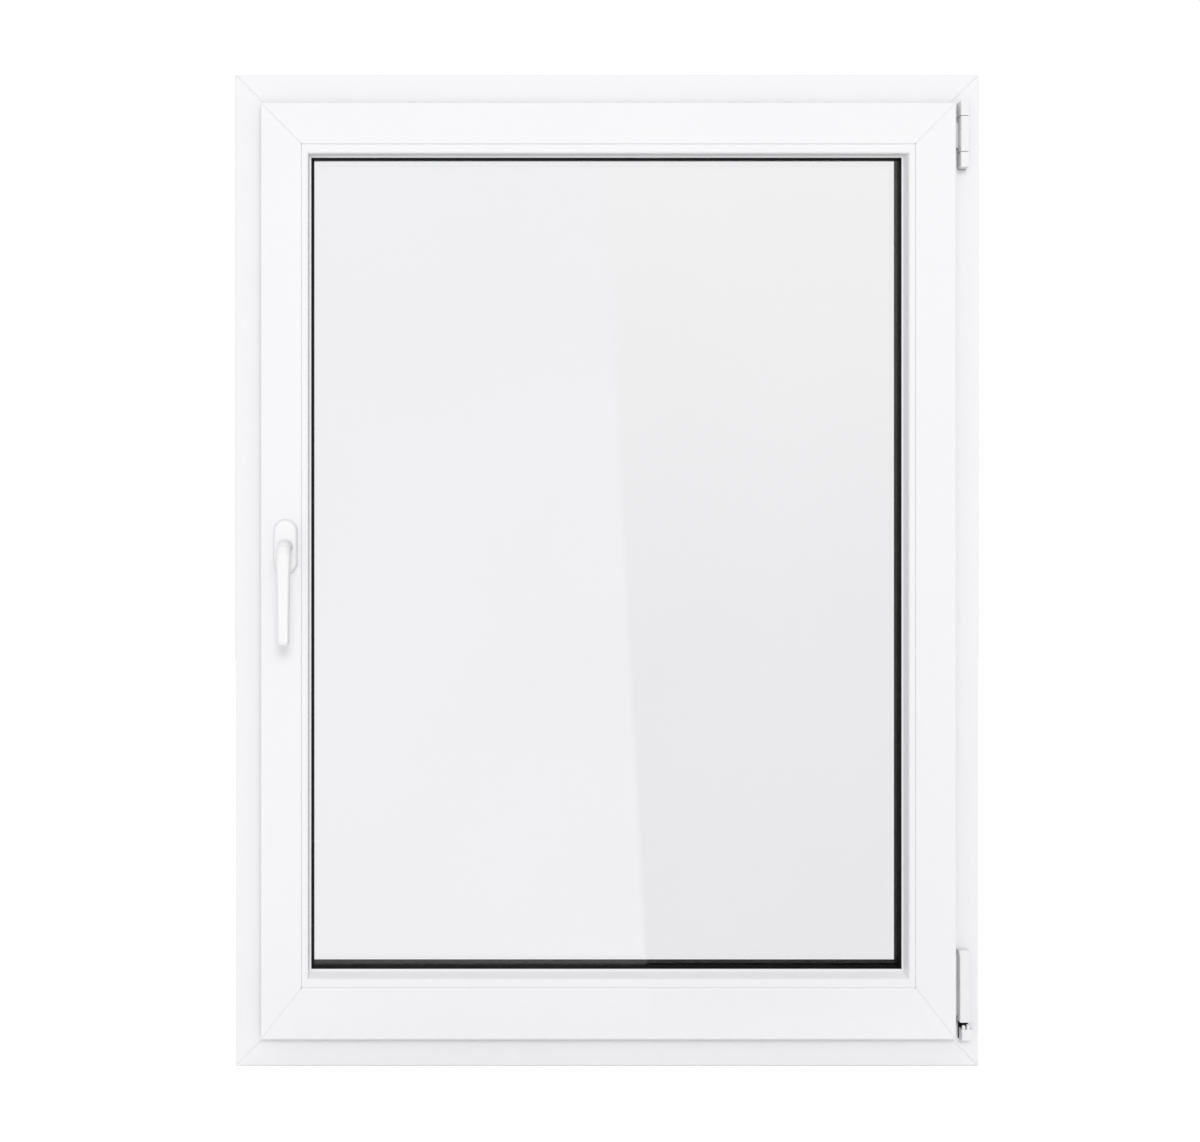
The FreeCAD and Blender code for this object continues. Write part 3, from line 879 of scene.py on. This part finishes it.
def makeLowerBearing():
    low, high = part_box("lower_hinge_bearing")
    blockHigh = Vector((high.x, high.y, high.z - hingeCovers["lugHeight"]))
    bm = coverBlock(low, blockHigh)
    roundCover(bm, low, blockHigh)
    radius = hingeCovers["lugDiameter"] / 2
    lugX = low.x + hingeCovers["lugMargin"] + radius
    lugY = low.y + hingeCovers["lugMargin"] + radius
    lugZ = high.z - hingeCovers["lugHeight"] / 2
    for x in (lugX, lugX + hingeCovers["lugSpacing"]):
        lug = bmesh.ops.create_cone(
            bm, cap_ends=True, segments=hingeCovers["lugSegments"], radius1=radius, radius2=radius,
            depth=hingeCovers["lugHeight"], matrix=Matrix.Translation((x, lugY, lugZ)))
        topVerts = [vert for vert in lug["verts"] if vert.co.z > high.z - tiny]
        crown = [edge for edge in bm.edges if all(vert in topVerts for vert in edge.verts)]
        roundEdges(bm, crown, hingeCovers["lugRound"], segments=5)
    newCover("lowerHingeBearing", bm, "lower_hinge_bearing")


makeUpperHinge()
makeLowerSleeve()
makeLowerBearing()
print("stage: hinges made")


# Handle
rosette = {
    "segments": 64,
    "reveal": 0.5 * mm,        # shadow line where it stands on the stile
    "draft": 1.2 * mm,
    "faceRound": 3.8 * mm,
}
lever = {
    "sides": 8,                # of the cage that is smoothed
    "cage": 1.109,             # its corners outside the smoothed skin
    "play": 0.3 * mm,
    "hubHalf": 9.0 * mm,
    "neckHalfWide": 8.6 * mm,
    "neckHalfThick": 7.9 * mm,
    "bend": 16 * mm,
    "bendSteps": 4,
    "shoulderDrop": 27 * mm,
    "waistDrop": 46 * mm,      # spindle to the slimmest part
    "waistHalfWide": 7.8 * mm,
    "gripHalfThick": 5.4 * mm,
    "gripSet": 6.25 * mm,      # front of the grip to its middle
    "tipHalfWide": 7.2 * mm,
    "tipHalfThick": 5.2 * mm,
    "tipSlope": 2.4 * mm,
    "tipShare": 0.82,          # tip face against the section above it
    "tipCrease": 0.6,
    "flatFace": 1.65,          # widens the flat front and back of the grip
    "flatCrease": 0.75,        # sharpness of the long edges beside that flat
    "smoothing": 3,
}
rosetteLow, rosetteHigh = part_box("handle_rosette")
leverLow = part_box("handle_lever")[0]
spindle = Vector(frame["record"]["behaviour"]["joints"][0]["pos_m"])


def growFace(bm, face, step):
    grown = bmesh.ops.extrude_face_region(bm, geom=[face])
    bmesh.ops.delete(bm, geom=[face], context="FACES_ONLY")
    bmesh.ops.translate(bm, vec=step, verts=grownVerts(grown))
    return grownFaces(grown)[0]


def resizeFace(bm, face, factor):
    centre = face.calc_center_median()
    bmesh.ops.scale(bm, vec=factor, verts=face.verts, space=Matrix.Translation(-centre))


def makeRosette():
    halfWide = (rosetteHigh.x - rosetteLow.x) / 2
    halfTall = (rosetteHigh.z - rosetteLow.z) / 2
    base = (rosetteLow + rosetteHigh) / 2
    base.y = rosetteHigh.y

    def stepOut(distance):
        return Vector((1 + distance / halfWide, 1, 1 + distance / halfTall))

    bm = bmesh.new()
    upright = Matrix.Translation(base) @ Matrix.Rotation(math.pi / 2, 4, "X")
    bmesh.ops.create_circle(bm, cap_ends=True, segments=rosette["segments"], radius=halfWide,
                            matrix=upright)
    for sign in (1, -1):
        half = [vert for vert in bm.verts if sign * (vert.co.z - base.z) > tiny]
        bmesh.ops.translate(bm, vec=(0, 0, sign * (halfTall - halfWide)), verts=half)
    foot = bm.faces[:][0]
    resizeFace(bm, foot, stepOut(-rosette["reveal"]))
    grown = bmesh.ops.extrude_face_region(bm, geom=[foot])
    bmesh.ops.translate(bm, vec=(0, -rosette["reveal"], 0), verts=grownVerts(grown))
    face = growFace(bm, grownFaces(grown)[0], Vector((0, 0, 0)))
    resizeFace(bm, face, stepOut(rosette["reveal"]))
    face = growFace(bm, face, Vector((0, rosetteLow.y - rosetteHigh.y + rosette["reveal"], 0)))
    resizeFace(bm, face, stepOut(-rosette["draft"]))
    roundEdges(bm, face.edges[:], rosette["faceRound"], segments=8)
    evenShading(newPiece("handleRosette", bm, handleCoat, "window", ["handle_rosette"]))


def makeLever():
    # an eight-sided cage: hub, neck, a spun bend, then drawn down to the tip and smoothed
    bm = bmesh.new()
    gripY = leverLow.y + lever["gripSet"]
    hub = Vector((spindle.x, spindle.y - lever["play"], spindle.z))
    turn = Matrix.Rotation(math.pi / 2, 4, "X") @ Matrix.Rotation(math.pi / lever["sides"], 4, "Z")
    bmesh.ops.create_circle(bm, cap_ends=True, segments=lever["sides"], matrix=Matrix.Translation(hub) @ turn,
                            radius=lever["hubHalf"] * lever["cage"])
    seat = bm.faces[:][0]
    creases = bm.edges.layers.float.new("crease_edge")
    for edge in seat.edges:
        edge[creases] = 1.0
    neckRun = gripY + lever["bend"] - hub.y
    halfNeck = Vector((0, neckRun / 2, 0))
    grown = bmesh.ops.extrude_face_region(bm, geom=[seat])
    bmesh.ops.translate(bm, vec=halfNeck, verts=grownVerts(grown))
    face = growFace(bm, grownFaces(grown)[0], halfNeck)
    halfWide, halfThick = lever["neckHalfWide"], lever["neckHalfThick"]
    resizeFace(bm, face, Vector((halfWide / lever["hubHalf"], 1, halfThick / lever["hubHalf"])))
    pivot = Vector((hub.x, hub.y + neckRun, hub.z - lever["bend"]))
    spun = bmesh.ops.spin(bm, geom=[face] + face.edges[:] + face.verts[:], cent=pivot, axis=(1, 0, 0),
                          angle=math.pi / 2, steps=lever["bendSteps"])
    face = [item for item in spun["geom_last"] if isinstance(item, bmesh.types.BMFace)][0]
    resizeFace(bm, face, Vector((1, lever["gripHalfThick"] / halfThick, 1)))
    halfThick = lever["gripHalfThick"]
    drop = lever["bend"]
    length = spindle.z - leverLow.z
    shoulderHalfWide = (lever["neckHalfWide"] + lever["waistHalfWide"]) / 2
    stations = (
        (lever["shoulderDrop"], shoulderHalfWide, lever["gripHalfThick"]),
        (lever["waistDrop"], lever["waistHalfWide"], lever["gripHalfThick"]),
        ((lever["waistDrop"] + length) / 2, lever["tipHalfWide"], lever["gripHalfThick"]),
        (length - lever["tipSlope"], lever["tipHalfWide"], lever["tipHalfThick"]),
        (length, lever["tipHalfWide"] * lever["tipShare"], lever["tipHalfThick"] * lever["tipShare"]),
    )
    for newDrop, newWide, newThick in stations:
        face = growFace(bm, face, Vector((0, 0, drop - newDrop)))
        resizeFace(bm, face, Vector((newWide / halfWide, newThick / halfThick, 1)))
        drop, halfWide, halfThick = newDrop, newWide, newThick
    for edge in face.edges:
        edge[creases] = lever["tipCrease"]
    gripTop = spindle.z - lever["bend"] + tiny
    flat = [
        vert for vert in bm.verts
        if vert.co.z < gripTop
        and abs(vert.co.x - spindle.x) < lever["hubHalf"] / 2
        and abs(vert.co.y - gripY) < 2 * lever["gripHalfThick"]
    ]
    bmesh.ops.scale(bm, vec=(lever["flatFace"], 1, 1), verts=flat, space=Matrix.Translation(-spindle))
    for edge in bm.edges:
        start, end = edge.verts
        if start in flat and end in flat and abs(start.co.z - end.co.z) > lever["tipSlope"] + tiny:
            edge[creases] = lever["flatCrease"]
    piece = newPiece("handleLever", bm, handleCoat, "handle", ["handle_lever"],
                     sharpAngle=180)
    smooth = piece.modifiers.new("smooth", "SUBSURF")
    smooth.levels = lever["smoothing"]
    smooth.render_levels = lever["smoothing"]


makeRosette()
makeLever()
print("stage: handle made")


# Drain caps on the outdoor face of the sill
drainCaps = {
    "cornerRound": 3 * mm,
    "faceRound": 1.4 * mm,
    "slotInset": 1.3 * mm,
    "slotDepth": 5 * mm,
    "pieces": {"left_drain_cap": "drainCapLeft", "right_drain_cap": "drainCapRight"},
}


def makeDrainCaps():
    for node, name in drainCaps["pieces"].items():
        low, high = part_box(node)
        bm = coverBlock(low, high)
        corners = [
            edge for edge in bm.edges
            if abs(edge.verts[0].co.x - edge.verts[1].co.x) < tiny
            and abs(edge.verts[0].co.z - edge.verts[1].co.z) < tiny
        ]
        roundEdges(bm, corners, drainCaps["cornerRound"], segments=5)
        rim = [edge for edge in bm.edges if all(abs(vert.co.y - high.y) < tiny for vert in edge.verts)]
        roundEdges(bm, rim, drainCaps["faceRound"], segments=4)
        bm.normal_update()
        underside = [face for face in bm.faces if face.normal.z < -levelLean]
        bmesh.ops.inset_region(bm, faces=underside, thickness=drainCaps["slotInset"])
        grown = bmesh.ops.extrude_face_region(bm, geom=underside)
        bmesh.ops.delete(bm, geom=underside, context="FACES_ONLY")
        bmesh.ops.translate(bm, vec=(0, 0, drainCaps["slotDepth"]), verts=grownVerts(grown))
        evenShading(newPiece(name, bm, hingeCover, "window", [node]))


makeDrainCaps()
print("stage: drain caps made")


# Studio
studio = {
    "floorSize": 14.0,
    "floorDrop": 0.3 * mm,
    "floorGlow": 0.72,         # keeps the paper pale where it is looked at
    "roomLight": 0.77,         # of the room as a light
    "roomMirrored": 0.52,      # of the room in reflections
    "roomThrough": 1.0,        # of the room through the glass
    "roomSeen": 1.05,          # of the room behind the window
}
lamps = {
    "frontLamp": {"from": Vector((0.04, -0.94, 0.335)), "away": 20.0, "size": 6.6, "power": 1195.0},
    "backLamp": {"from": Vector((-0.42, 0.78, 0.46)), "away": 8.0, "size": 3.2, "power": 135.0},
}
# glowing card for a painted reflection: its slanted side draws a line in the glass
card = {
    "depth": 0.10,             # in front of the glass
    "edge": ((0.0624, 0.05), (0.0253, 0.762), (0.0078, 1.17)),    # its slanted side, from the bottom
    "right": 0.50,
    "tint": (1.0, 1.0, 0.86, 1.0),
    "glowTop": 0.61,
    "glowBottom": 0.02,
    "glowCurve": 1.6,          # above 1 keeps the lower half dim
}
paperFinish = {
    "dark": (0.895, 0.895, 0.895),
    "light": (0.905, 0.905, 0.905),
    "smooth": 0.7,
    "rough": 0.8,
    "bump": 0.02,
    "depth": 0.1 * mm,
    "shine": 0.0,
}


def stagePiece(name, bm, material):
    piece = linkMesh(name, bm, material)
    return piece


def mirroredLooks(tree, rays):
    # looks that a surface mirrors at some point
    halfStep = 0.5    # tells no mirrored step from one
    return addMath(tree, "GREATER_THAN", rays.outputs["Glossy Depth"], halfStep)


def throughLooks(tree, rays, mirrored):
    # looks that only pass through the glass
    straight = addMath(tree, "SUBTRACT", 1.0, mirrored)
    return addMath(tree, "MULTIPLY", rays.outputs["Is Transmission Ray"], straight)


def mixSurface(tree, share, first, second):
    mix = tree.nodes.new("ShaderNodeMixShader")
    tree.links.new(share, mix.inputs["Fac"])
    tree.links.new(first, mix.inputs[1])
    tree.links.new(second, mix.inputs[2])
    tree.links.new(mix.outputs["Shader"], tree.nodes["Material Output"].inputs["Surface"])


def makeFloor():
    # pale paper that throws little light back up, and looks even through and in the glass
    bm = bmesh.new()
    bmesh.ops.create_grid(bm, x_segments=1, y_segments=1, size=studio["floorSize"] / 2)
    bmesh.ops.translate(bm, vec=(0, 0, bottomEdge - studio["floorDrop"]), verts=bm.verts)
    paper = skinnedMaterial("floorPaper", mouldedSkin, {"Stipple": 300.0, "Drift": 1.5}, paperFinish)
    tree = paper.node_tree
    rays = tree.nodes.new("ShaderNodeLightPath")
    mirrored = mirroredLooks(tree, rays)
    through = throughLooks(tree, rays, mirrored)
    inGlass = addMath(tree, "MAXIMUM", mirrored, through)
    direct = addMath(tree, "MULTIPLY", rays.outputs["Is Camera Ray"], studio["floorGlow"])
    dimmed = addMath(tree, "MULTIPLY", mirrored, studio["roomMirrored"])
    seen = addMath(tree, "MAXIMUM", addMath(tree, "MAXIMUM", through, direct), dimmed)
    glow = tree.nodes.new("ShaderNodeEmission")
    tree.links.new(seen, glow.inputs["Strength"])
    lit = tree.nodes.new("ShaderNodeAddShader")
    tree.links.new(tree.nodes["Principled BSDF"].outputs["BSDF"], lit.inputs[0])
    tree.links.new(glow.outputs["Emission"], lit.inputs[1])
    mixSurface(tree, inGlass, lit.outputs["Shader"], glow.outputs["Emission"])
    stagePiece("studioFloor", bm, paper)


def makeCardMaterial():
    # painted reflection: a glow, rising towards the top, that shows only in mirrored light
    material = bpy.data.materials.new("paintedReflectionGlow")
    material.use_nodes = True
    tree = material.node_tree
    tree.nodes.remove(tree.nodes["Principled BSDF"])
    glow = tree.nodes.new("ShaderNodeEmission")
    glow.inputs["Color"].default_value = card["tint"]
    point = tree.nodes.new("ShaderNodeTexCoord").outputs["Object"]
    axes = tree.nodes.new("ShaderNodeSeparateXYZ")
    tree.links.new(point, axes.inputs["Vector"])
    fade = tree.nodes.new("ShaderNodeMapRange")
    fade.inputs["From Min"].default_value = card["edge"][0][1]
    fade.inputs["From Max"].default_value = card["edge"][-1][1]
    tree.links.new(axes.outputs["Z"], fade.inputs["Value"])
    curved = addMath(tree, "POWER", fade.outputs["Result"], card["glowCurve"])
    risen = addMath(tree, "MULTIPLY", curved, card["glowTop"] - card["glowBottom"])
    tree.links.new(addMath(tree, "ADD", risen, card["glowBottom"]), glow.inputs["Strength"])
    mirrored = mirroredLooks(tree, tree.nodes.new("ShaderNodeLightPath"))
    unseen = tree.nodes.new("ShaderNodeBsdfTransparent")
    mixSurface(tree, mirrored, unseen.outputs["BSDF"], glow.outputs["Emission"])
    return material


def makeCard():
    # a glowing card, seen only in reflections, whose slanted side paints a reflection line across the pane
    depth = innerPaneLow.y - card["depth"]
    bm = bmesh.new()
    bottom, top = card["edge"][0][1], card["edge"][-1][1]
    outline = [(card["right"], top), (card["right"], bottom)] + list(card["edge"])
    bm.faces.new([bm.verts.new((x, depth, z)) for x, z in outline])
    piece = stagePiece("paintedReflectionCard", bm, makeCardMaterial())
    piece.visible_camera = False
    piece.visible_diffuse = False
    piece.visible_shadow = False


def makeLamp(name, lamp):
    light = bpy.data.lights.new(name, "AREA")
    light.shape = "DISK"
    light.size = lamp["size"]
    light.energy = lamp["power"]
    holder = bpy.data.objects.new(name, light)
    holder.location = middle + lamp["from"].normalized() * lamp["away"]
    holder.rotation_mode = "QUATERNION"
    holder.rotation_quaternion = (-lamp["from"]).to_track_quat("-Z", "Y")
    holder.visible_camera = False
    holder.visible_glossy = False
    holder.visible_transmission = False
    bpy.context.scene.collection.objects.link(holder)


def makeLight():
    for name, lamp in lamps.items():
        makeLamp(name, lamp)
    world = bpy.data.worlds.new("paleRoom")
    bpy.context.scene.world = world
    world.use_nodes = True
    tree = world.node_tree
    background = tree.nodes["Background"]
    background.inputs["Color"].default_value = (1, 1, 1, 1)
    rays = tree.nodes.new("ShaderNodeLightPath")
    mirrored = mirroredLooks(tree, rays)
    through = throughLooks(tree, rays, mirrored)
    strength = studio["roomLight"]
    looks = (
        (rays.outputs["Is Camera Ray"], studio["roomSeen"]),
        (through, studio["roomThrough"]),
        (mirrored, studio["roomMirrored"]),
    )
    for look, level in looks:
        change = addMath(tree, "MULTIPLY", look, level - studio["roomLight"])
        strength = addMath(tree, "ADD", strength, change)
    tree.links.new(strength, background.inputs["Strength"])


view = {
    "distance": 2.5,           # camera to the frame's room face
    "width": 1.4516,           # of the picture at that face
    "shiftX": 0.15,
    "shiftY": -0.045,
    "centre": (-8.5 * mm, -0.6 * mm),    # middle of the picture from the middle of the window
    "sensor": 36.0,
}


def makeCamera():
    lens = bpy.data.cameras.new("viewCamera")
    lens.sensor_width = view["sensor"]
    lens.lens = view["sensor"] * view["distance"] / view["width"]
    lens.shift_x = view["shiftX"]
    lens.shift_y = view["shiftY"]
    camera = bpy.data.objects.new("viewCamera", lens)
    camera.location = (
        middle.x + view["centre"][0] - view["shiftX"] * view["width"],
        sillLow.y - view["distance"],
        middle.z + view["centre"][1] - view["shiftY"] * view["width"],
    )
    camera.rotation_euler = (math.pi / 2, 0, 0)
    bpy.context.scene.collection.objects.link(camera)
    bpy.context.scene.camera = camera


makeFloor()
makeCard()
makeLight()
makeCamera()
bpy.context.scene.view_settings.view_transform = "Standard"
print("stage: studio ready")
